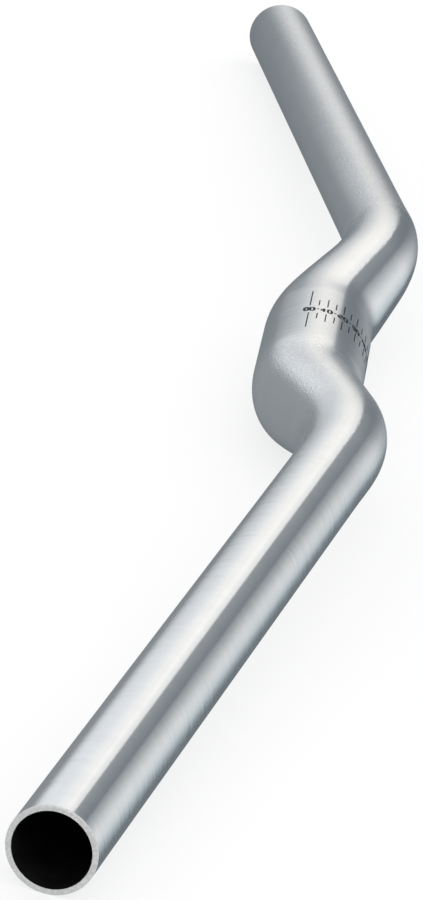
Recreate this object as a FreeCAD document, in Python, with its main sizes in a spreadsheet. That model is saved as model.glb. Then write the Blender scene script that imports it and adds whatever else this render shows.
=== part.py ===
import FreeCAD, Part
import Sketcher
import math
import os

# Flat handlebar for a bicycle: one bent and butted aluminium tube.
# Bar frame, used for every sketch below: the origin is the centre of the stem
# clamp, +X runs along the clamp axis to the rider's right, +Y is forward and
# +Z is up.  Each half is clamp straight, first bend (forward), middle run,
# second bend (back and slightly up) and grip straight.  The whole body is then
# rolled about X by lie_angle, so that it lies as it comes to rest on a surface:
# on the underside of the clamp zone and on both grip ends.

doc = FreeCAD.newDocument("flat_handlebar")

# ---------------------------------------------------------------- dimensions
# millimetres and degrees
DIMS = [
    ("bar_width", 780.0),          # centre of one end face to the other, along X
    ("clamp_half", 22.0),          # half length of the parallel clamp zone
    ("clamp_dia", 31.8),
    ("grip_dia", 22.2),
    ("first_corner", 36.0),        # clamp centre to the first bend's corner point
    ("middle_run", 62.0),          # corner point to corner point
    ("bend_one", 17.2),            # first bend, forward, in the level plane
    ("bend_one_radius", 59.0),
    ("bend_two", 27.12),           # second bend, back
    ("bend_two_turn", 5.93),       # its plane is turned this far about the middle run
    ("bend_two_radius", 99.0),
    ("clamp_wall", 2.3),
    ("grip_wall", 1.45),
    ("outer_edge", 0.3),           # broken outer edges of the cut ends
    ("lie_angle", 31.0),           # replaced below by the computed roll
]

# Sections of one half, from the clamp outwards: where the section stands, its
# outside diameter and its wall.  "arc" places give a share of that bend's
# angle, "mid" places a share of the middle run's straight part, "clamp" and
# "grip" places a distance in millimetres past the parallel clamp zone or past
# the end of the second bend.
SECTIONS = [
    ("clamp", 0.0, 31.80, 2.30),
    ("clamp", 2.4, 31.73, 2.30),
    ("arc1", 0.0, 31.52, 2.30),
    ("arc1", 1 / 3, 30.94, 2.28),
    ("arc1", 2 / 3, 30.38, 2.26),
    ("arc1", 1.0, 29.80, 2.24),
    ("mid", 1 / 4, 29.04, 2.22),
    ("mid", 2 / 4, 28.13, 2.20),
    ("mid", 3 / 4, 27.18, 2.17),
    ("arc2", 0.0, 26.21, 2.14),
    ("arc2", 1 / 6, 25.31, 2.10),
    ("arc2", 2 / 6, 24.55, 2.07),
    ("arc2", 3 / 6, 23.89, 2.04),
    ("arc2", 4 / 6, 23.30, 2.02),
    ("arc2", 5 / 6, 22.83, 2.00),
    ("arc2", 1.0, 22.48, 1.97),
    ("grip", 8.0, 22.29, 1.94),
    ("grip", 16.0, 22.21, 1.90),
    ("grip", 24.0, 22.20, 1.86),
]
# inside only: the wall thins along the grip from the bend to the plain tube
BORE_ONLY = [
    ("grip", 36.0, 1.78),
    ("grip", 50.0, 1.64),
    ("grip", 62.0, 1.51),
    ("grip", 70.0, 1.45),
]


def path_place(kind, at, d):
    """Centre point of a section and the direction of the tube there, in the bar frame."""
    a1, a2, turn = (math.radians(d[k]) for k in ("bend_one", "bend_two", "bend_two_turn"))
    r1, r2 = d["bend_one_radius"], d["bend_two_radius"]
    along = (math.cos(a1), math.sin(a1), 0.0)
    inward = (math.cos(turn) * math.sin(a1), -math.cos(turn) * math.cos(a1), math.sin(turn))
    start1 = d["first_corner"] - r1 * math.tan(a1 / 2)
    if kind == "clamp":
        return (d["clamp_half"] + at, 0.0, 0.0), (1.0, 0.0, 0.0)
    if kind == "arc1":
        q = at * a1
        return (start1 + r1 * math.sin(q), r1 * (1 - math.cos(q)), 0.0), (math.cos(q), math.sin(q), 0.0)
    first = r1 * math.tan(a1 / 2)
    last = d["middle_run"] - r2 * math.tan(a2 / 2)
    if kind == "mid":
        u = first + at * (last - first)
        return (d["first_corner"] + u * along[0], u * along[1], 0.0), along
    q = a2 if kind == "grip" else at * a2
    c = (d["first_corner"] + last * along[0], last * along[1], 0.0)
    p = [c[i] + r2 * math.sin(q) * along[i] + r2 * (1 - math.cos(q)) * inward[i] for i in range(3)]
    t = [math.cos(q) * along[i] + math.sin(q) * inward[i] for i in range(3)]
    if kind == "grip":
        p = [p[i] + at * t[i] for i in range(3)]
    return tuple(p), tuple(t)


def roll_to_rest(d):
    """Roll about X at which the clamp zone and the grip ends touch one level surface."""
    (x, y, z), t = path_place("grip", 0.0, d)
    run = (d["bar_width"] / 2 - x) / t[0]
    end = [v + run * w for v, w in zip((x, y, z), t)]
    lo, hi = 0.0, 80.0
    for _ in range(60):
        mid = (lo + hi) / 2
        a = math.radians(mid)
        height = end[1] * math.sin(a) + end[2] * math.cos(a)
        slope = t[1] * math.sin(a) + t[2] * math.cos(a)
        foot = height - d["grip_dia"] / 2 * math.sqrt(1 - slope * slope)
        if foot > -d["clamp_dia"] / 2:
            lo = mid
        else:
            hi = mid
    return round((lo + hi) / 2, 3)


dims = dict(DIMS)
dims["lie_angle"] = roll_to_rest(dims)

sheet = doc.addObject("Spreadsheet::Sheet", "Sheet")
sheet.Label = "dimensions"
row = 1
for name, value in dims.items():
    sheet.set("A%d" % row, name)
    sheet.set("B%d" % row, "%g" % value)
    sheet.setAlias("B%d" % row, name)
    row += 1
for i, (kind, at, dia, wall) in enumerate(SECTIONS):
    for name, value in (("place_%02d" % i, at), ("outside_%02d" % i, dia), ("wall_%02d" % i, wall)):
        sheet.set("A%d" % row, name)
        sheet.set("B%d" % row, "%.6f" % value)
        sheet.setAlias("B%d" % row, name)
        row += 1
for i, (kind, at, wall) in enumerate(BORE_ONLY):
    for name, value in (("butt_place_%02d" % i, at), ("butt_wall_%02d" % i, wall)):
        sheet.set("A%d" % row, name)
        sheet.set("B%d" % row, "%.6f" % value)
        sheet.setAlias("B%d" % row, name)
        row += 1
doc.recompute()

# ---------------------------------------------------------------- placements
S = "Sheet."
TAN1 = S + "bend_one_radius * tan(" + S + "bend_one / 2)"
LAST = "(" + S + "middle_run - " + S + "bend_two_radius * tan(" + S + "bend_two / 2))"
ALONG_X, ALONG_Y = "cos(" + S + "bend_one)", "sin(" + S + "bend_one)"
IN_X = "cos(" + S + "bend_two_turn) * sin(" + S + "bend_one)"
IN_Y = "(0 - cos(" + S + "bend_two_turn) * cos(" + S + "bend_one))"
IN_Z = "sin(" + S + "bend_two_turn)"
TURN_AXIS = "vector(0 - sin(" + S + "bend_two_turn); 0 - cos(" + S + "bend_two_turn); 0)"


def place_expression(kind, cell):
    """Attachment offset of a section sketch on the YZ plane: sketch x is bar Y, sketch y is bar Z, its normal is bar X."""
    up = "rotation(vector(0; 1; 0); %s)"
    if kind == "clamp":
        return "placement(vector(0; 0; %sclamp_half + %s); %s)" % (S, cell, up % "0")
    if kind == "arc1":
        q = "(%s * %sbend_one)" % (cell, S)
        x = "%sfirst_corner - %s + %sbend_one_radius * sin(%s)" % (S, TAN1, S, q)
        y = "%sbend_one_radius * (1 - cos(%s))" % (S, q)
        return "placement(vector(%s; 0; %s); %s)" % (y, x, up % q)
    if kind == "mid":
        u = "(%s + %s * (%s - %s))" % (TAN1, cell, LAST, TAN1)
        x = "%sfirst_corner + %s * %s" % (S, u, ALONG_X)
        y = "%s * %s" % (u, ALONG_Y)
        return "placement(vector(%s; 0; %s); %s)" % (y, x, up % (S + "bend_one"))
    q = S + "bend_two" if kind == "grip" else "(%s * %sbend_two)" % (cell, S)
    rs = "%sbend_two_radius * sin(%s)" % (S, q)
    rc = "%sbend_two_radius * (1 - cos(%s))" % (S, q)
    run = cell if kind == "grip" else "0"
    tx = "(cos(%s) * %s + sin(%s) * %s)" % (q, ALONG_X, q, IN_X)
    ty = "(cos(%s) * %s + sin(%s) * %s)" % (q, ALONG_Y, q, IN_Y)
    tz = "(sin(%s) * %s)" % (q, IN_Z)
    x = "%sfirst_corner + (%s + %s) * %s + %s * %s + %s * %s" % (S, LAST, rs, ALONG_X, rc, IN_X, run, tx)
    y = "(%s + %s) * %s + %s * %s + %s * %s" % (LAST, rs, ALONG_Y, rc, IN_Y, run, ty)
    z = "%s * %s + %s * %s" % (rc, IN_Z, run, tz)
    turn = "%s * rotation(%s; %s)" % (up % (S + "bend_one"), TURN_AXIS, q)
    return "placement(vector(%s; %s; %s); %s)" % (y, z, x, turn)


# ---------------------------------------------------------------- the tube
body = doc.addObject("PartDesign::Body", "Handlebar")
body.Label = "handlebar"
plane = {o.Role: o for o in body.Origin.OriginFeatures}


def circle_sketch(name, radius, placement):
    """A circle on the YZ plane, moved to its place on the centreline."""
    sk = body.newObject("Sketcher::SketchObject", name)
    sk.AttachmentSupport = [(plane["YZ_Plane"], "")]
    sk.MapMode = "FlatFace"
    sk.addGeometry(Part.Circle(FreeCAD.Vector(0, 0, 0), FreeCAD.Vector(0, 0, 1), 10.0), False)
    sk.addConstraint(Sketcher.Constraint("Coincident", 0, 3, -1, 1))
    sk.addConstraint(Sketcher.Constraint("Radius", 0, 10.0))
    sk.renameConstraint(1, "size")
    sk.setExpression("Constraints.size", radius)
    if placement:
        sk.setExpression("AttachmentOffset", placement)
    sk.Visibility = False
    return sk


# outside: parallel clamp zone, one tapered and bent half, one grip
clamp_sketch = circle_sketch("clamp_outline", S + "clamp_dia / 2", None)
clamp = body.newObject("PartDesign::Pad", "clamp_zone")
clamp.Profile = clamp_sketch
clamp.SideType = "Symmetric"
clamp.setExpression("Length", "2 * " + S + "clamp_half")

outlines = [
    circle_sketch("outline_%02d" % i, "%soutside_%02d / 2" % (S, i), place_expression(kind, "%splace_%02d" % (S, i)))
    for i, (kind, _, _, _) in enumerate(SECTIONS)
]
shoulder = body.newObject("PartDesign::AdditiveLoft", "bent_taper")
shoulder.Profile = outlines[0]
shoulder.Sections = outlines[1:]
shoulder.Ruled = False

GRIP_X = "(cos(%sbend_two) * %s + sin(%sbend_two) * %s)" % (S, ALONG_X, S, IN_X)
GRIP_START = "(%sfirst_corner + (%s + %sbend_two_radius * sin(%sbend_two)) * %s + %sbend_two_radius * (1 - cos(%sbend_two)) * %s)" % (
    S, LAST, S, S, ALONG_X, S, S, IN_X)
last = "place_%02d" % (len(SECTIONS) - 1)
grip_sketch = circle_sketch("grip_outline", S + "grip_dia / 2", place_expression("grip", S + last))
grip = body.newObject("PartDesign::Pad", "grip_straight")
grip.Profile = grip_sketch
grip.SideType = "One side"
grip.setExpression("Length", "(%sbar_width / 2 - %s) / %s - %s" % (S, GRIP_START, GRIP_X, S + last))
doc.recompute()

other_half = body.newObject("PartDesign::Mirrored", "left_half")
other_half.Originals = [shoulder, grip]
other_half.MirrorPlane = (plane["YZ_Plane"], [""])
body.Tip = other_half
doc.recompute()
outer_volume = other_half.Shape.Volume

# inside: the bore, with the wall thinning towards the ends
bore_sketch = circle_sketch("clamp_bore_outline", "%sclamp_dia / 2 - %sclamp_wall" % (S, S), None)
bore = body.newObject("PartDesign::Pocket", "clamp_bore")
bore.Profile = bore_sketch
bore.SideType = "Symmetric"
bore.setExpression("Length", "2 * " + S + "clamp_half")
doc.recompute()

inlines = [
    circle_sketch("bore_%02d" % i, "%soutside_%02d / 2 - %swall_%02d" % (S, i, S, i),
                  place_expression(kind, "%splace_%02d" % (S, i)))
    for i, (kind, _, _, _) in enumerate(SECTIONS)
]
inlines += [
    circle_sketch("butt_%02d" % i, "%sgrip_dia / 2 - %sbutt_wall_%02d" % (S, S, i),
                  place_expression(kind, "%sbutt_place_%02d" % (S, i)))
    for i, (kind, _, _) in enumerate(BORE_ONLY)
]
taper_bore = body.newObject("PartDesign::SubtractiveLoft", "bent_bore")
taper_bore.Profile = inlines[0]
taper_bore.Sections = inlines[1:]
taper_bore.Ruled = False
doc.recompute()

butt = "butt_place_%02d" % (len(BORE_ONLY) - 1)
end_bore_sketch = circle_sketch("grip_bore_outline", "%sgrip_dia / 2 - %sgrip_wall" % (S, S), place_expression("grip", S + butt))
end_bore = body.newObject("PartDesign::Pocket", "grip_bore")
end_bore.Profile = end_bore_sketch
end_bore.SideType = "One side"
end_bore.Reversed = True
end_bore.setExpression("Length", "(%sbar_width / 2 - %s) / %s - %s + 2" % (S, GRIP_START, GRIP_X, S + butt))
doc.recompute()

other_bore = body.newObject("PartDesign::Mirrored", "left_bore")
other_bore.Originals = [taper_bore, end_bore]
other_bore.MirrorPlane = (plane["YZ_Plane"], [""])
body.Tip = other_bore
doc.recompute()


def rim_edges(shape, radius):
    """Names of the circles of this radius on the two end faces."""
    found = []
    for i, e in enumerate(shape.Edges):
        c = e.Curve
        if isinstance(c, Part.Circle) and abs(c.Radius - radius) < 1e-3 and abs(c.Center.x) > dims["bar_width"] / 2 - 1:
            found.append("Edge%d" % (i + 1))
    return found


outer_rims = rim_edges(other_bore.Shape, dims["grip_dia"] / 2)
outer_edge = body.newObject("PartDesign::Chamfer", "outer_rims")
outer_edge.Base = (other_bore, outer_rims)
outer_edge.setExpression("Size", S + "outer_edge")
body.Tip = outer_edge

# lie as it comes to rest
body.setExpression("Placement", "placement(vector(0; 0; 0); rotation(vector(1; 0; 0); %slie_angle))" % S)
doc.recompute()

# ---------------------------------------------------------------- tests
for o in doc.Objects:
    if "Invalid" in o.State or "Error" in o.State:
        raise SystemExit("failed object: %s %s" % (o.Name, o.State))
shape = body.Shape
if shape.isNull() or not shape.isValid():
    raise SystemExit("handlebar: bad shape")
if len(shape.Solids) != 1:
    raise SystemExit("handlebar: %d solids" % len(shape.Solids))
if len(outer_rims) != 2:
    raise SystemExit("end rims: %s" % outer_rims)
if not 0.55 < 1 - shape.Volume / outer_volume < 0.85:
    raise SystemExit("the bore removed the wrong volume: %g of %g" % (shape.Volume, outer_volume))

box = shape.BoundBox
print("lie_angle %.3f deg" % dims["lie_angle"])
print("box mm", [round(v, 3) for v in (box.XMin, box.YMin, box.ZMin, box.XMax, box.YMax, box.ZMax)])
print("volume cm3 %.2f, mass at 2.70 g/cm3 %.1f g" % (shape.Volume / 1000, shape.Volume / 1000 * 2.70))

os.makedirs("parts", exist_ok=True)
for part in (body,):
    part.Shape.exportStep("parts/%s.step" % part.Label)
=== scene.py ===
import math

import bpy
import bmesh
import numpy as np
from mathutils import Matrix, Vector


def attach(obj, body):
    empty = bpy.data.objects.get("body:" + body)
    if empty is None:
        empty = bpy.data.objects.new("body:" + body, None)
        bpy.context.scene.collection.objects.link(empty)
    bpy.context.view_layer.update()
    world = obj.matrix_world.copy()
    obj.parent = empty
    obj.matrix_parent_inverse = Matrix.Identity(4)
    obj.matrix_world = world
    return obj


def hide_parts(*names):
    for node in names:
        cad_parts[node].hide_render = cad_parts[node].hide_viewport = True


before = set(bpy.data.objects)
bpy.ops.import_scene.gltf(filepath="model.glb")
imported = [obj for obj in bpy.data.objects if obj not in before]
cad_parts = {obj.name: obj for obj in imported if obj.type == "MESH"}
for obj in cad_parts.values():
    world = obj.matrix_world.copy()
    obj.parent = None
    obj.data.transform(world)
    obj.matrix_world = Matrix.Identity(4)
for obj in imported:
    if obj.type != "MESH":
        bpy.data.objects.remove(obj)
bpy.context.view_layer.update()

# Flat handlebar: one bent, swaged and butted aluminium tube, lying on a pale
# table under soft studio light.  Metres, +Z up, +X along the clamp axis.
MM = 0.001
LIE = math.radians(31.217)          # roll about X from the bar's own frame to its rest
SCENE = bpy.context.scene


# ------------------------------------------------------------------ centreline
A1, A2, TURN = (math.radians(v) for v in (17.2, 27.12, 5.93))
R1, R2 = 59.0, 99.0
CORNER, RUN = 36.0, 62.0
START1 = CORNER - R1 * math.tan(A1 / 2)
LEN1, LEN2 = R1 * A1, R2 * A2
MID = RUN - R1 * math.tan(A1 / 2) - R2 * math.tan(A2 / 2)
S1, S2, S3 = START1 + LEN1, START1 + LEN1 + MID, START1 + LEN1 + MID + LEN2
ALONG = np.array([math.cos(A1), math.sin(A1), 0.0])
INWARD = np.array([math.cos(TURN) * math.sin(A1), -math.cos(TURN) * math.cos(A1), math.sin(TURN)])


def turned(axis, angle, v):
    axis = axis / np.linalg.norm(axis)
    return v * math.cos(angle) + np.cross(axis, v) * math.sin(angle) + axis * np.dot(axis, v) * (1 - math.cos(angle))


def place(s):
    """Centre, direction and the two cross vectors of the tube at arc length s (mm), in the bar frame."""
    m = abs(s)
    z = np.array([0.0, 0.0, 1.0])
    e1, e2 = np.array([0.0, 1.0, 0.0]), z.copy()
    if m <= START1:
        p, t = np.array([m, 0.0, 0.0]), np.array([1.0, 0.0, 0.0])
    elif m <= S1:
        q = (m - START1) / R1
        p = np.array([START1 + R1 * math.sin(q), R1 * (1 - math.cos(q)), 0.0])
        t = np.array([math.cos(q), math.sin(q), 0.0])
        e1 = turned(z, q, e1)
    else:
        e1 = turned(z, A1, e1)
        c1 = np.array([START1 + R1 * math.sin(A1), R1 * (1 - math.cos(A1)), 0.0])
        if m <= S2:
            p, t = c1 + (m - S1) * ALONG, ALONG.copy()
        else:
            q = min((m - S2) / R2, A2)
            axis = np.cross(ALONG, INWARD)
            p = c1 + MID * ALONG + R2 * math.sin(q) * ALONG + R2 * (1 - math.cos(q)) * INWARD
            t = math.cos(q) * ALONG + math.sin(q) * INWARD
            e1, e2 = turned(axis, q, e1), turned(axis, q, e2)
            if m > S3:
                p = p + (m - S3) * t
    flip = np.array([-1.0 if s < 0 else 1.0, 1.0, 1.0])
    return p * flip, t * flip, e1 * flip, e2 * flip


END = S3 + (390.0 - place(S3)[0][0]) / place(S3)[1][0]      # arc length of the cut end


def smooth_table(xs, ys):
    """Monotone cubic through a short table of sizes."""
    xs, ys = np.array(xs, float), np.array(ys, float)
    h, dy = np.diff(xs), np.diff(ys)
    m = dy / h
    t = np.zeros(len(xs))
    for i in range(1, len(xs) - 1):
        if m[i - 1] * m[i] > 0:
            w1, w2 = 2 * h[i] + h[i - 1], h[i] + 2 * h[i - 1]
            t[i] = (w1 + w2) / (w1 / m[i - 1] + w2 / m[i])

    def f(x):
        x = np.clip(x, xs[0], xs[-1])
        i = np.clip(np.searchsorted(xs, x, side="right") - 1, 0, len(h) - 1)
        u = (x - xs[i]) / h[i]
        return (ys[i] * (1 + 2 * u) * (1 - u) ** 2 + t[i] * h[i] * u * (1 - u) ** 2
                + ys[i + 1] * u * u * (3 - 2 * u) + t[i + 1] * h[i] * u * u * (u - 1))
    return f


outer_radius = smooth_table(
    [0, 22, 24.4, START1, START1 + LEN1 / 3, START1 + 2 * LEN1 / 3, S1, S1 + MID / 4, S1 + MID / 2, S1 + 0.75 * MID, S2,
     S2 + LEN2 / 6, S2 + LEN2 / 3, S2 + LEN2 / 2, S2 + 2 * LEN2 / 3, S2 + 5 * LEN2 / 6, S3, S3 + 8, S3 + 16, S3 + 24, 400],
    [15.9, 15.9, 15.865, 15.76, 15.47, 15.19, 14.90, 14.52, 14.065, 13.59, 13.105,
     12.655, 12.275, 11.945, 11.65, 11.415, 11.24, 11.145, 11.105, 11.1, 11.1])
wall = smooth_table([0, START1, S1, S2, S3, S3 + 24, S3 + 36, S3 + 50, S3 + 62, S3 + 70, 400],
                    [2.3, 2.3, 2.24, 2.14, 1.97, 1.86, 1.78, 1.64, 1.51, 1.45, 1.45])


def to_rest(p):
    c, s = math.cos(LIE), math.sin(LIE)
    p = np.asarray(p, float)
    return np.stack([p[..., 0], c * p[..., 1] - s * p[..., 2], s * p[..., 1] + c * p[..., 2]], -1)


# ------------------------------------------------------------------ tube mesh
AROUND = 96
stations = list(np.arange(0.0, START1 - 1, 2.0)) + list(np.arange(START1 - 1, S3 + 26, 1.15)) + list(np.arange(S3 + 27, END - 2, 3.0))
stations += [END - 1.2, END - 0.6]
stations = [-s for s in stations[:0:-1]] + stations
EDGE, DEBUR = 0.3, 0.12            # broken outer edge, and the fine burr-free inner edge of the saw cut
theta = np.arange(AROUND) * 2 * math.pi / AROUND


def course(s, reach=6.0):
    """place(), eased over a few millimetres so that straights run into the bends without a kink in the reflections."""
    m = abs(s)
    if m < 12.0:
        return place(s)
    p, t, e1 = np.zeros(3), np.zeros(3), np.zeros(3)
    total = 0.0
    for v in np.linspace(-1.0, 1.0, 13)[1:-1]:
        weight = 1.0 + math.cos(math.pi * v)
        q = place(m + reach * v)
        p, t, e1, total = p + weight * q[0], t + weight * q[1], e1 + weight * q[2], total + weight
    p, t = p / total, t / np.linalg.norm(t)
    e1 = e1 / total - t * np.dot(e1 / total, t)
    e1 /= np.linalg.norm(e1)
    flip = np.array([-1.0 if s < 0 else 1.0, 1.0, 1.0])
    return p * flip, t * flip, e1 * flip, np.cross(t, e1) * flip


def ring(s, r):
    p, t, e1, e2 = course(s)
    return p + r * (np.cos(theta)[:, None] * e1 + np.sin(theta)[:, None] * e2)


bore_stations = [s for i, s in enumerate(stations) if abs(s) < END - 2 and i % 2 == 0]
rings, kinds = [], []               # each ring with its arc length and radius
for s in ([-(END - EDGE)] + stations + [END - EDGE]):
    rings.append((s, float(outer_radius(abs(s))))); kinds.append("outside")
R_END, B_END = float(outer_radius(END)), float(outer_radius(END) - wall(END))
rings += [(END, R_END - EDGE), (END, B_END + DEBUR), (END - DEBUR, B_END)]
kinds += ["edge", "cut", "edge"]
for s in [END - 1.5] + bore_stations[::-1] + [-(END - 1.5)]:
    rings.append((s, float(outer_radius(abs(s)) - wall(abs(s))))); kinds.append("bore")
rings += [(-(END - DEBUR), B_END), (-END, B_END + DEBUR), (-END, R_END - EDGE)]
kinds += ["bore", "edge", "cut"]
kinds[-1] = "cut"

points = np.concatenate([ring(s, r) for s, r in rings])
unbent = np.concatenate([np.stack([np.full(AROUND, s), r * np.cos(theta), r * np.sin(theta)], -1) for s, r in rings])
count = len(rings)
quads, zones = [], []
for i in range(count):
    a, b = i * AROUND, ((i + 1) % count) * AROUND
    # what lies between ring i and the next one
    (sa, ra), (sb, rb) = rings[i], rings[(i + 1) % count]
    if abs(sa - sb) < 1e-9:
        zone = 1                     # saw cut
    elif kinds[i] == "bore" or (kinds[i] == "edge" and abs(ra - rb) < 1e-9):
        zone = 2 if abs(ra - rb) < 0.11 or abs(sa - sb) > 1 else 1
    elif kinds[i] == "outside" and abs(ra - rb) < 0.25 and abs(sb - sa) < 10 and sb > sa and not (abs(sb) > END - 1e-6):
        zone = 0
    else:
        zone = 1
    for j in range(AROUND):
        k = (j + 1) % AROUND
        quads.append((a + j, a + k, b + k, b + j))
        zones.append(zone)

mesh = bpy.data.meshes.new("handlebar_tube")
mesh.from_pydata((to_rest(points) * MM).tolist(), [], quads)
mesh.update()
mesh.polygons.foreach_set("use_smooth", [True] * len(quads))
mesh.polygons.foreach_set("material_index", zones)
flow = mesh.attributes.new("unbent", "FLOAT_VECTOR", "POINT")
flow.data.foreach_set("vector", (unbent * MM).astype(np.float32).ravel())
# a map with U along the tube and V around it gives the brushed direction
uv = mesh.uv_layers.new(name="along_around")
coords = np.zeros((len(quads) * 4, 2), np.float32)
n = 0
for i in range(count):
    sa, sb = rings[i][0], rings[(i + 1) % count][0]
    if abs(sa - sb) < 1e-9:
        sb = sa + (rings[i][1] - rings[(i + 1) % count][1])
    for j in range(AROUND):
        v0, v1 = j / AROUND, (j + 1) / AROUND
        coords[n:n + 4] = [(sa / 100, v0), (sa / 100, v1), (sb / 100, v1), (sb / 100, v0)]
        n += 4
uv.data.foreach_set("uv", coords.ravel())
# crisp circles where the saw cut and the broken edges meet
sharp_rings = {i for i in range(count) if kinds[i] in ("edge", "cut")} | {0, kinds.index("edge") - 1}
sharp_rings |= {i for i in range(count) if abs(abs(rings[i][0]) - (END - DEBUR)) < 1e-9}
for e in mesh.edges:
    a, b = e.vertices
    if a // AROUND == b // AROUND and a // AROUND in sharp_rings:
        e.use_edge_sharp = True
tube = bpy.data.objects.new("handlebar_tube", mesh)
SCENE.collection.objects.link(tube)


# ------------------------------------------------------------------ node helpers
class Nodes:
    def __init__(self, owner):
        owner.use_nodes = True
        self.tree = owner.node_tree
        self.tree.nodes.clear()

    def add(self, kind, **inputs):
        node = self.tree.nodes.new(kind)
        for key, value in inputs.items():
            self.set(node, key, value)
        return node

    def set(self, node, key, value):
        socket = node.inputs[int(key[1:])] if key[0] == "i" and key[1:].isdigit() else node.inputs[key]
        if isinstance(value, bpy.types.NodeSocket):
            self.tree.links.new(value, socket)
        else:
            socket.default_value = value

    def math(self, op, a, b=0.0, c=0.0, clamp=False):
        node = self.tree.nodes.new("ShaderNodeMath")
        node.operation, node.use_clamp = op, clamp
        for i, v in enumerate((a, b, c)):
            self.set(node, "i%d" % i, v)
        return node.outputs[0]

    def ramp(self, value, low, high, out_low=0.0, out_high=1.0, kind="SMOOTHSTEP"):
        node = self.tree.nodes.new("ShaderNodeMapRange")
        node.interpolation_type = kind
        for key, v in zip(("Value", "From Min", "From Max", "To Min", "To Max"), (value, low, high, out_low, out_high)):
            self.set(node, key, v)
        return node.outputs["Result"]

    def mix(self, share, a, b):
        node = self.tree.nodes.new("ShaderNodeMix")
        node.data_type = "RGBA"
        for i, v in ((0, share), (6, a), (7, b)):
            if isinstance(v, bpy.types.NodeSocket):
                self.tree.links.new(v, node.inputs[i])
            else:
                node.inputs[i].default_value = v
        return node.outputs[2]

    def noise(self, vector, scale, detail=2.0, rough=0.5):
        node = self.tree.nodes.new("ShaderNodeTexNoise")
        self.set(node, "Vector", vector)
        for key, v in (("Scale", scale), ("Detail", detail), ("Roughness", rough)):
            self.set(node, key, v)
        return node.outputs[0]

    def scaled(self, vector, x, y, z):
        node = self.tree.nodes.new("ShaderNodeVectorMath")
        node.operation = "MULTIPLY"
        self.set(node, "i0", vector)
        node.inputs[1].default_value = (x, y, z)
        return node.outputs[0]


def rgb(r, g, b):
    return (r, g, b, 1.0)


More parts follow.
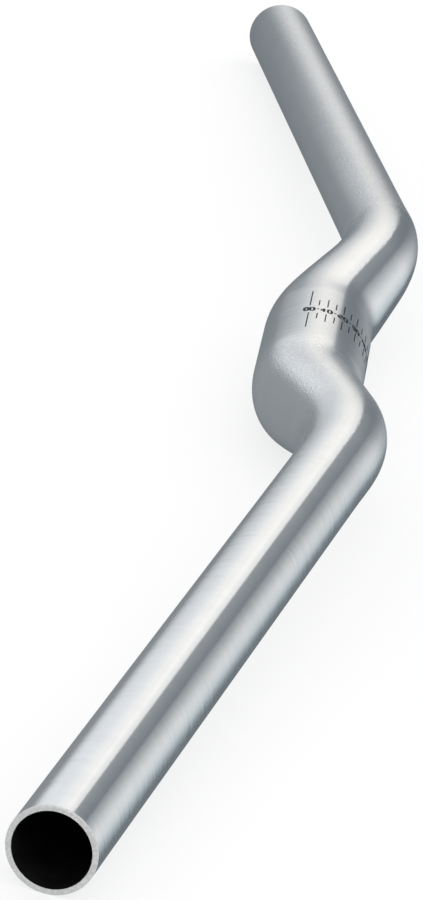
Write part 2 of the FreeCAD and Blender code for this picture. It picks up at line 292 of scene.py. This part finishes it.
# ------------------------------------------------------------------ finishes
def satin_aluminium():
    """Outside of the tube: polished round and round, with a finer, sandier skin where the bends stretched it."""
    mat = bpy.data.materials.new("satin_aluminium")
    t = Nodes(mat)
    flow = t.add("ShaderNodeAttribute"); flow.attribute_name = "unbent"
    flow = flow.outputs["Vector"]
    split = t.add("ShaderNodeSeparateXYZ", Vector=flow)
    along = split.outputs["X"]
    away = t.math("ABSOLUTE", along)
    side = t.add("ShaderNodeVectorMath", i0=t.scaled(flow, 0.0, 1.0, 1.0))
    side.operation = "NORMALIZE"
    side = t.add("ShaderNodeSeparateXYZ", Vector=side.outputs[0]).outputs["Y"]
    early = t.math("ADD", along, t.ramp(side, 0.0, -0.55, 0.0, -0.014))        # the far satin begins sooner on one side
    bent = t.math("MULTIPLY", t.ramp(away, 0.020, 0.036), t.ramp(away, 0.165, 0.105, 0.12, 1.0))
    # duller patches: the clamp zone, the first bend on one side and the second bend on the other
    dull = t.math("MULTIPLY", t.ramp(along, -0.030, -0.008), t.ramp(along, 0.104, 0.078))
    dull = t.math("MULTIPLY", dull, t.ramp(along, 0.010, 0.046, 0.30, 1.0))
    patch = t.noise(t.scaled(flow, 110.0, 110.0, 110.0), 1.0, 2.0, 0.5)
    dull = t.math("MAXIMUM", dull, t.ramp(t.math("MULTIPLY_ADD", patch, 0.04, early), -0.082, -0.100))
    # polishing marks run round the tube: fine along it, long around it
    fine = t.noise(t.scaled(flow, 1500.0, 70.0, 70.0), 1.0, 2.0, 0.55)
    broad = t.noise(t.scaled(flow, 480.0, 45.0, 45.0), 1.0, 1.0, 0.5)
    coarse = t.noise(t.scaled(flow, 900.0, 1250.0, 1250.0), 1.0, 2.0, 0.6)
    sand = t.noise(t.scaled(flow, 1050.0, 1450.0, 1450.0), 1.0, 1.5, 0.6)
    near = t.ramp(along, -0.02, 0.02)
    grain = t.math("ADD", t.math("MULTIPLY", coarse, t.math("SUBTRACT", 1.0, near)), t.math("MULTIPLY", sand, near))
    waves = t.noise(t.scaled(flow, 45.0, 60.0, 60.0), 1.0, 1.0, 0.4)
    sandy = t.math("MULTIPLY", bent, t.ramp(patch, 0.35, 0.65, 0.75, 1.0))
    first = t.math("MULTIPLY", t.ramp(along, -0.112, -0.096, 1.0, 0.7), t.ramp(along, 0.02, -0.02))
    sandy = t.math("MULTIPLY", sandy, t.math("MAXIMUM", first, t.ramp(along, -0.02, 0.02)))
    sandy = t.math("MAXIMUM", sandy, t.ramp(along, -0.10, -0.14, 0.06, 0.60))
    sandy = t.math("MULTIPLY", sandy, t.ramp(along, -0.34, -0.20, 0.60, 1.0))
    top = t.math("MULTIPLY", t.ramp(side, 0.30, -0.05), t.ramp(side, -0.35, -0.80, 1.0, 0.30))
    where = t.math("MAXIMUM", t.math("MAXIMUM", top, t.ramp(side, 0.70, 0.90, 0.0, 0.35)), t.ramp(along, -0.09, -0.13, 0.25, 0.60))
    where = t.math("MULTIPLY", where, t.ramp(side, -0.25, -0.70, 1.0, 0.25))
    far = t.ramp(along, -0.100, -0.125)                                  # the long straight grip at the far side is evenly satin
    start = t.math("MULTIPLY", t.ramp(along, -0.104, -0.122), t.ramp(along, -0.215, -0.145, 0.0, 0.40))
    sandy = t.math("ADD", t.math("MULTIPLY", sandy, where), start)
    calm = t.math("MULTIPLY_ADD", t.math("MULTIPLY", far, t.ramp(side, -0.05, -0.45)), -0.97, 1.0)
    sandy = t.math("MULTIPLY", sandy, calm)
    # round-and-round marks are fainter where it is sandy
    clean = t.math("MAXIMUM", t.math("MAXIMUM", sandy, bent), t.math("MAXIMUM", t.ramp(away, 0.034, 0.016, 0.0, 0.5), t.math("MULTIPLY", far, t.ramp(side, 0.0, -0.4, 0.70, 1.0))))
    clean = t.math("MULTIPLY_ADD", clean, -0.97, 1.0)
    lines = t.math("ADD", t.math("MULTIPLY", t.math("SUBTRACT", fine, 0.5), 0.0000200), t.math("MULTIPLY", t.math("SUBTRACT", broad, 0.5), 0.0000800))
    height = t.math("MULTIPLY", lines, clean)
    height = t.math("ADD", height, t.math("MULTIPLY", t.math("MULTIPLY", t.math("SUBTRACT", grain, 0.5), sandy), t.math("MULTIPLY_ADD", near, -0.000055, 0.0002000)))
    height = t.math("ADD", height, t.math("MULTIPLY", waves, 0.00006))
    bump = t.add("ShaderNodeBump", Strength=1.0, Distance=1.0, Height=height)
    streak = t.ramp(fine, 0.25, 0.75, -0.5, 0.5)
    speck = t.ramp(grain, 0.3, 0.7, -0.5, 0.5)
    cloud = t.ramp(patch, 0.2, 0.8, -0.5, 0.5)
    tone = t.math("ADD", t.math("MULTIPLY", t.math("MULTIPLY", streak, clean), 0.09), t.math("MULTIPLY", cloud, 0.15))
    flecks = t.math("MULTIPLY", t.math("MULTIPLY", bent, t.ramp(along, 0.088, 0.056, 0.25, 1.0)), near)
    flecks = t.math("MULTIPLY", flecks, t.ramp(side, -0.55, -0.10, 0.10, 0.85))
    flecks = t.math("ADD", flecks, t.math("MULTIPLY", far, 0.60))
    tone = t.math("ADD", tone, t.math("MULTIPLY", t.math("MULTIPLY", speck, calm), flecks))
    # painted shade: the base colour is darkened over the far grip, standing in for how dark that grip falls under the
    # light
    tone = t.math("MULTIPLY_ADD", far, -0.30, tone)
    colour = t.mix(t.math("ADD", tone, 0.5, clamp=True), rgb(0.76, 0.77, 0.78), rgb(0.98, 0.985, 0.985))
    rough = t.math("MULTIPLY_ADD", t.math("MULTIPLY", streak, t.ramp(dull, 0.82, 1.0, 1.0, 0.1)), 0.05, t.ramp(along, 0.005, 0.035, 0.165, 0.20))
    rough = t.math("ADD", rough, t.math("MULTIPLY", dull, t.ramp(along, -0.02, 0.02, 0.122, 0.085)))
    tangent = t.add("ShaderNodeTangent")
    tangent.direction_type, tangent.uv_map = "UV_MAP", "along_around"
    shader = t.add("ShaderNodeBsdfPrincipled")
    t.set(shader, "Base Color", colour)
    t.set(shader, "Metallic", 1.0)
    t.set(shader, "Roughness", rough)
    t.set(shader, "Anisotropic", t.math("MULTIPLY", t.ramp(dull, 0.0, 1.0, 0.92, 0.30), t.math("MULTIPLY_ADD", far, -0.8, 1.0)))
    t.set(shader, "Tangent", tangent.outputs[0])
    t.set(shader, "Normal", bump.outputs[0])
    t.add("ShaderNodeOutputMaterial", Surface=shader.outputs[0])
    return mat


def cut_aluminium():
    """The square-cut ends: pale, matt, with the saw's faint curved scratches."""
    mat = bpy.data.materials.new("cut_aluminium")
    t = Nodes(mat)
    flow = t.add("ShaderNodeAttribute"); flow.attribute_name = "unbent"
    flow = flow.outputs["Vector"]
    marks = t.noise(t.scaled(flow, 900.0, 2600.0, 500.0), 1.0, 3.0, 0.6)
    specks = t.noise(t.scaled(flow, 1800.0, 1800.0, 1800.0), 1.0, 2.0, 0.6)
    height = t.math("ADD", t.math("MULTIPLY", marks, 0.000018), t.math("MULTIPLY", specks, 0.000012))
    bump = t.add("ShaderNodeBump", Strength=1.0, Distance=1.0, Height=height)
    colour = t.mix(t.ramp(specks, 0.35, 0.7), rgb(0.56, 0.57, 0.57), rgb(0.72, 0.72, 0.71))
    shader = t.add("ShaderNodeBsdfPrincipled")
    t.set(shader, "Base Color", colour)
    t.set(shader, "Metallic", 0.22)
    t.set(shader, "Roughness", t.ramp(marks, 0.2, 0.8, 0.42, 0.6))
    t.set(shader, "Normal", bump.outputs[0])
    t.add("ShaderNodeOutputMaterial", Surface=shader.outputs[0])
    return mat


def drawn_bore_with_painted_shade():
    """The inside of the tube: dull skin left by drawing, with lengthwise die lines; its near-black colour is painted
    shade for the dark inside of the tube.
    """
    mat = bpy.data.materials.new("drawn_bore_with_painted_shade")
    t = Nodes(mat)
    flow = t.add("ShaderNodeAttribute"); flow.attribute_name = "unbent"
    flow = flow.outputs["Vector"]
    lines = t.noise(t.scaled(flow, 20.0, 900.0, 900.0), 1.0, 3.0, 0.6)
    stain = t.noise(t.scaled(flow, 150.0, 150.0, 150.0), 1.0, 3.0, 0.6)
    height = t.math("MULTIPLY", lines, 0.00001)
    bump = t.add("ShaderNodeBump", Strength=1.0, Distance=1.0, Height=height)
    # near-black base colour with faint random blotches: painted shade for the inside of the tube
    colour = t.mix(t.ramp(stain, 0.3, 0.7), rgb(0.004, 0.004, 0.0045), rgb(0.013, 0.0125, 0.013))
    shader = t.add("ShaderNodeBsdfPrincipled")
    t.set(shader, "Base Color", colour)
    t.set(shader, "Metallic", 0.0)
    t.set(shader, "Roughness", t.ramp(lines, 0.2, 0.8, 0.45, 0.7))
    t.set(shader, "Specular IOR Level", 0.12)
    t.set(shader, "Normal", bump.outputs[0])
    t.add("ShaderNodeOutputMaterial", Surface=shader.outputs[0])
    return mat


mesh.materials.append(satin_aluminium())
mesh.materials.append(cut_aluminium())
mesh.materials.append(drawn_bore_with_painted_shade())

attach(tube, "root")
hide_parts("handlebar")


# ------------------------------------------------------------------ alignment scale
INK_IN, INK_OUT = 15.86, 15.925        # the ink stands a few hundredths proud of the clamp zone


def stroke(x0, a0, x1, a1, width, verts, faces):
    """One inked stroke on the clamp zone, from (x0, a0) to (x1, a1); x in mm, a in mm round the surface."""
    d = np.array([x1 - x0, a1 - a0], float)
    length = np.linalg.norm(d)
    d /= length
    side = np.array([-d[1], d[0]]) * width / 2
    n = max(1, int(abs(a1 - a0) / 0.5))
    cuts = np.linspace(0.0, length, n + 1)
    first = len(verts)
    for cut in cuts:
        c = np.array([x0, a0]) + d * cut
        for q in (c + side, c - side):
            for r in (INK_OUT, INK_IN):
                ang = q[1] / 15.9
                verts.append((q[0], r * math.cos(ang), r * math.sin(ang)))
    for i in range(n):
        a = first + 4 * i
        b = a + 4
        faces += [(a, a + 2, b + 2, b), (a + 1, b + 1, b + 3, a + 3), (a, b, b + 1, a + 1), (a + 2, a + 3, b + 3, b + 2)]
    a, b = first, first + 4 * n
    faces += [(a, a + 1, a + 3, a + 2), (b, b + 2, b + 3, b + 1)]


# strokes of the figures on a grid 2 wide and 4 high
FIGURES = {
    "0": [(0, 0, 0, 4), (0, 4, 2, 4), (2, 4, 2, 0), (2, 0, 0, 0)],
    "1": [(1, 0, 1, 4)],
    "2": [(0, 4, 2, 4), (2, 4, 2, 2), (2, 2, 0, 2), (0, 2, 0, 0), (0, 0, 2, 0)],
    "3": [(0, 4, 2, 4), (2, 4, 2, 0), (0, 2, 2, 2), (0, 0, 2, 0)],
    "4": [(0, 4, 0, 2), (0, 2, 2, 2), (2, 4, 2, 0)],
    "5": [(2, 4, 0, 4), (0, 4, 0, 2), (0, 2, 2, 2), (2, 2, 2, 0), (2, 0, 0, 0)],
    "6": [(2, 4, 0, 4), (0, 4, 0, 0), (0, 0, 2, 0), (2, 0, 2, 2), (2, 2, 0, 2)],
}
verts, faces = [], []
STEP = math.radians(9.4) * 15.9            # spacing round the tube
START = math.radians(73.1) * 15.9
#        from the middle: inner end, outer end of each tick, on the two sides
TICKS = [(3.7, 18.1), (4.0, 9.1), (3.6, 11.15), (3.8, 9.3), (3.6, 11.6), (3.4, 9.3), (3.4, 11.4), (3.5, 8.8), (3.4, 9.8),
         (3.5, 9.0), (3.5, 11.2), (3.5, 9.0), (3.7, 18.1)]
for i, (inner, outer) in enumerate(TICKS):
    a = START - i * STEP
    for flip in (-1, 1):
        stroke(flip * inner, a, flip * outer, a, 0.36, verts, faces)
    for k in range(3):                                                     # short dashes between the figures
        if i % 2:
            c = a + 1.0 - k
            stroke(-0.30, c + 0.32, -0.30, c - 0.32, 0.72, verts, faces)
            if k != 1:
                stroke(0.66, c + 0.24, 0.66, c - 0.24, 0.55, verts, faces)
    if i % 2 == 0:
        text = "%02d" % (10 * (i // 2))
        size, wide, gap = 0.76, 0.54, 0.66
        total = len(text) * 2 * wide + (len(text) - 1) * gap
        for k, figure in enumerate(text):
            left = total / 2 - k * (2 * wide + gap)                        # read toward decreasing angle
            for gx, gy, hx, hy in FIGURES[figure]:
                stroke(-(gy - 2) * size, a + left - gx * wide, -(hy - 2) * size, a + left - hx * wide,
                       0.78 if k == 0 else 0.62, verts, faces)
scale_mesh = bpy.data.meshes.new("clamp_scale")
scale_mesh.from_pydata((to_rest(np.array(verts)) * MM).tolist(), [], faces)
scale_mesh.update()
tidy = bmesh.new()
tidy.from_mesh(scale_mesh)
bmesh.ops.recalc_face_normals(tidy, faces=tidy.faces)
tidy.to_mesh(scale_mesh)
tidy.free()
scale = bpy.data.objects.new("clamp_scale", scale_mesh)
SCENE.collection.objects.link(scale)


def scale_ink():
    """Thin dark ink of the alignment scale, slightly worn."""
    mat = bpy.data.materials.new("scale_ink")
    t = Nodes(mat)
    where = t.add("ShaderNodeTexCoord")
    worn = t.noise(t.scaled(where.outputs["Object"], 900.0, 900.0, 900.0), 1.0, 2.0, 0.6)
    shader = t.add("ShaderNodeBsdfPrincipled")
    t.set(shader, "Base Color", t.mix(t.ramp(worn, 0.40, 0.75), rgb(0.006, 0.0065, 0.008), rgb(0.035, 0.036, 0.040)))
    t.set(shader, "Roughness", t.ramp(worn, 0.3, 0.7, 0.45, 0.65))
    t.set(shader, "Specular IOR Level", 0.15)
    t.add("ShaderNodeOutputMaterial", Surface=shader.outputs[0])
    return mat


scale_mesh.materials.append(scale_ink())
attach(scale, "root")

# ------------------------------------------------------------------ table and light
def plane(name, corners, material):
    m = bpy.data.meshes.new(name)
    m.from_pydata([tuple(c) for c in corners], [], [tuple(range(len(corners)))])
    m.update()
    o = bpy.data.objects.new(name, m)
    SCENE.collection.objects.link(o)
    m.materials.append(material)
    return o


floor_mat = bpy.data.materials.new("pale_table")
t = Nodes(floor_mat)
where = t.add("ShaderNodeTexCoord")
mottle = t.noise(where.outputs["Object"], 6.0, 4.0, 0.5)
shader = t.add("ShaderNodeBsdfPrincipled")
t.set(shader, "Base Color", t.mix(mottle, rgb(0.238, 0.239, 0.241), rgb(0.26, 0.26, 0.26)))
t.set(shader, "Roughness", 0.9)
t.set(shader, "Specular IOR Level", 0.0)
t.set(shader, "Emission Color", rgb(1.0, 1.0, 1.0))
t.set(shader, "Emission Strength", 0.76)
t.add("ShaderNodeOutputMaterial", Surface=shader.outputs[0])
G = 45.0
FLOOR_Z = -15.9 * MM
floor = plane("table", [(-G, -G, FLOOR_Z), (G, -G, FLOOR_Z), (G, G, FLOOR_Z), (-G, G, FLOOR_Z)], floor_mat)
floor.visible_glossy = False


def panel(name, x, box, colour, glow_of):
    """A large soft light panel across X, seen only in reflections.  box is y0, y1, z0, z1; glow_of(t, y, z) gives its
    brightness over the panel."""
    mat = bpy.data.materials.new(name)
    t = Nodes(mat)
    where = t.add("ShaderNodeTexCoord")
    split = t.add("ShaderNodeSeparateXYZ", Vector=where.outputs["Object"])
    y, z = split.outputs["Y"], split.outputs["Z"]
    glow = t.add("ShaderNodeEmission", Color=colour(t, y, z) if callable(colour) else rgb(*colour), Strength=glow_of(t, y, z))
    clear = t.add("ShaderNodeBsdfTransparent")
    both = t.add("ShaderNodeAddShader", i0=glow.outputs[0], i1=clear.outputs[0])
    t.add("ShaderNodeOutputMaterial", Surface=both.outputs[0])
    y0, y1, z0, z1 = box
    o = plane(name, [(x, y0, z0), (x, y1, z0), (x, y1, z1), (x, y0, z1)], mat)
    o.visible_camera = o.visible_diffuse = o.visible_shadow = o.visible_transmission = False
    return o


def slanted(t, y, z):
    """How far a point lies inside the slanting right edge of the softbox, metres."""
    edge = t.math("MINIMUM", t.math("MULTIPLY_ADD", z, 0.43, 0.050), t.math("MULTIPLY_ADD", z, 0.27, 0.10))
    return t.math("SUBTRACT", edge, y)


def cut_off(t, inside, z):
    soft = t.ramp(z, 0.10, 0.24, 0.05, 0.008)
    return t.ramp(inside, t.math("MULTIPLY", soft, -1.0), soft)


def softbox(t, y, z):
    """Upright softbox: slanting right edge, crisp higher up, and a lower end that fades out along a slope."""
    inside = slanted(t, y, z)
    height = t.math("SUBTRACT", z, t.math("MULTIPLY", t.math("ABSOLUTE", t.math("ADD", y, 0.29)), 0.55))
    body = t.math("ADD", t.ramp(height, 0.02, 0.125, 0.0, 0.43), t.ramp(height, 0.12, 0.25, 0.0, 0.222))
    body = t.math("MULTIPLY", body, t.ramp(y, -1.25, -0.7))
    dim = t.math("MULTIPLY", t.ramp(z, 0.38, 0.56, -0.13, -0.28), t.ramp(inside, 0.19, 0.0))
    body = t.math("MULTIPLY", body, t.math("ADD", dim, 1.0))
    # a fan of light spreads up from just left of the middle
    fan_y, fan_z = t.math("ADD", y, 0.07), t.math("ADD", z, 0.02)
    turn = t.math("ARCTAN2", fan_z, fan_y)
    reach = t.math("SQRT", t.math("ADD", t.math("MULTIPLY", fan_y, fan_y), t.math("MULTIPLY", fan_z, fan_z)))
    brink = t.ramp(reach, 0.22, 0.32, 1.20, 0.97)
    lobe = t.math("MULTIPLY", t.ramp(turn, 2.45, 1.20), t.ramp(turn, t.math("SUBTRACT", brink, 0.82), brink))
    level = t.math("ADD", t.ramp(reach, 0.04, 0.13, 0.46, 0.54), t.ramp(reach, 0.16, 0.28, 0.0, 0.09))
    level = t.math("ADD", level, t.ramp(reach, 0.32, 0.42, 0.0, -0.07))
    lobe = t.math("MULTIPLY", lobe, t.math("MULTIPLY", t.ramp(reach, 0.015, 0.06), level))
    both = t.math("MULTIPLY", t.math("MAXIMUM", body, lobe), cut_off(t, inside, z))
    return t.math("MULTIPLY", both, t.ramp(z, 1.25, 0.9, 0.0, 1.0 / 0.87))


def softbox_tint(t, y, z):
    return t.mix(t.ramp(slanted(t, y, z), 0.50, 0.0), rgb(0.975, 0.98, 1.0), rgb(1.0, 0.957, 0.915))


def softbox_core(t, y, z):
    """The bulb's warm glow behind the cloth, a little left of the edge."""
    inside = slanted(t, y, z)
    core = t.math("MULTIPLY", t.ramp(y, -0.22, -0.02), t.ramp(inside, 0.0, 0.17))
    core = t.math("MULTIPLY", core, t.ramp(z, 0.13, 0.30))
    core = t.math("MULTIPLY", core, t.ramp(z, 0.70, 0.38, 0.30, 1.0))
    return t.math("MULTIPLY", core, 0.17 / 0.87)


def spill(t, y, z):
    """Weak light beyond the softbox's edge, higher up."""
    glow = t.math("MULTIPLY", t.ramp(z, 0.16, 0.36), t.ramp(y, 0.70, 0.12, 0.0, 0.12))
    glow = t.math("MULTIPLY", glow, t.ramp(z, 1.2, 0.8))
    return t.math("MULTIPLY", glow, t.ramp(y, 0.0, 0.1))


def left_fill(t, y, z):
    """Faint light low on the left."""
    near = t.math("MULTIPLY", t.ramp(y, -0.05, -0.36, 0.0, 0.105), t.ramp(y, -1.9, -1.4))
    return t.math("MULTIPLY", near, t.ramp(z, 0.42, 0.05))


for side in (-1, 1):
    tag = "far" if side < 0 else "near"
    panel("softbox_" + tag, side * 0.600, (-1.3, 0.6, -0.5, 1.3), softbox_tint, softbox)
    panel("softbox_core_" + tag, side * 0.602, (-0.3, 0.6, 0.1, 1.3), (1.0, 0.82, 0.58), softbox_core)
    panel("spill_" + tag, side * 0.604, (0.0, 0.6, 0.1, 1.3), (0.97, 0.99, 1.0), spill)
    panel("left_fill_" + tag, side * 0.606, (-1.9, 0.1, -1.0, 0.45), (1.0, 0.98, 0.95), left_fill)

world = bpy.data.worlds.new("studio")
SCENE.world = world
t = Nodes(world)
ray = t.add("ShaderNodeLightPath")
where = t.add("ShaderNodeTexCoord")
split = t.add("ShaderNodeSeparateXYZ", Vector=where.outputs["Generated"])
up = split.outputs["Z"]
depth = t.math("MAXIMUM", t.math("ABSOLUTE", split.outputs["X"]), 0.05)
u = t.math("DIVIDE", split.outputs["Y"], depth)      # slope to the right
w = t.math("DIVIDE", up, depth)                      # slope upward
# a broad far-off light on the right, brightest just above the horizon, over a slanting dark card
low, high = t.math("MULTIPLY_ADD", w, 0.3, 0.24), t.math("MULTIPLY_ADD", w, 0.3, 0.80)
low = t.math("ADD", low, t.ramp(w, -0.08, 0.10, 0.0, 0.07))
high = t.math("MAXIMUM", high, t.math("ADD", low, 0.25))
broad = t.ramp(u, low, high)
level = t.math("MULTIPLY", t.ramp(w, 0.92, 0.15, 0.0, 1.0, "LINEAR"), t.ramp(w, -0.62, 0.02, 0.28, 1.0, "LINEAR"))
card = t.math("MAXIMUM", t.ramp(t.math("MULTIPLY_ADD", u, 0.1, w), -0.24, -0.17), t.ramp(t.math("MULTIPLY_ADD", w, 0.6, u), 0.355, 0.395))
card = t.math("MULTIPLY", card, t.ramp(t.math("MULTIPLY_ADD", u, -1.05, w), -0.185, -0.215))
right_light = t.math("MULTIPLY", t.math("MULTIPLY", broad, level), card)
slope = t.math("MULTIPLY_ADD", w, 0.6, u)
shade = t.math("MULTIPLY", t.ramp(slope, 0.16, 0.26), t.ramp(slope, 0.40, 0.33))
shade = t.math("MULTIPLY", shade, t.ramp(w, -0.20, -0.27, 0.0, -0.75))
base = t.add("ShaderNodeBackground", Color=rgb(0.170, 0.198, 0.218), Strength=t.math("ADD", shade, 1.0))
# overhead: a wide cloth; across the bar: a long strip on each side and the pale table below
across = t.ramp(t.math("ABSOLUTE", split.outputs["X"]), 0.55, 0.25)
overhead = t.ramp(up, 0.62, 0.93, 0.0, 0.62)
strip = t.math("MULTIPLY", t.ramp(up, 0.20, 0.30), t.ramp(up, 0.56, 0.46, 0.0, 0.30))
table = t.ramp(up, -0.25, -0.85, 0.0, 0.16)
more = t.math("ADD", overhead, t.math("MULTIPLY", across, t.math("ADD", strip, table)))
above = t.add("ShaderNodeBackground", Color=rgb(1.0, 0.995, 0.98), Strength=more)
base = t.add("ShaderNodeAddShader", i0=base.outputs[0], i1=above.outputs[0])
tint = t.mix(t.ramp(w, -0.30, 0.0), rgb(0.82, 0.94, 1.0), rgb(1.0, 0.99, 0.975))
lit = t.add("ShaderNodeBackground", Color=tint, Strength=t.math("MULTIPLY", right_light, 0.70))
around = t.add("ShaderNodeAddShader", i0=base.outputs[0], i1=lit.outputs[0])
room = t.add("ShaderNodeBackground", Color=rgb(1.0, 1.0, 1.0), Strength=1.04)
both = t.add("ShaderNodeMixShader", Fac=ray.outputs["Is Glossy Ray"], i1=room.outputs[0], i2=around.outputs[0])
t.add("ShaderNodeOutputWorld", Surface=both.outputs[0])

# ------------------------------------------------------------------ camera
right = Vector((-0.07819785, 0.97988156, 0.18362251))
up_v = Vector((-0.30635666, -0.19889326, 0.93090658))
back = Vector((0.94869947, 0.01654091, 0.31574627))
cam = bpy.data.cameras.new("camera")
cam.sensor_width = 36.0
cam.lens = 228.772
cam.clip_start, cam.clip_end = 0.05, 200.0
cam_obj = bpy.data.objects.new("camera", cam)
SCENE.collection.objects.link(cam_obj)
cam_obj.matrix_world = Matrix((
    (right.x, up_v.x, back.x, 1.5924613),
    (right.y, up_v.y, back.y, 0.0038927),
    (right.z, up_v.z, back.z, 0.4970389),
    (0, 0, 0, 1)))
SCENE.camera = cam_obj
SCENE.view_settings.view_transform = "Standard"
SCENE.view_settings.look = "None"
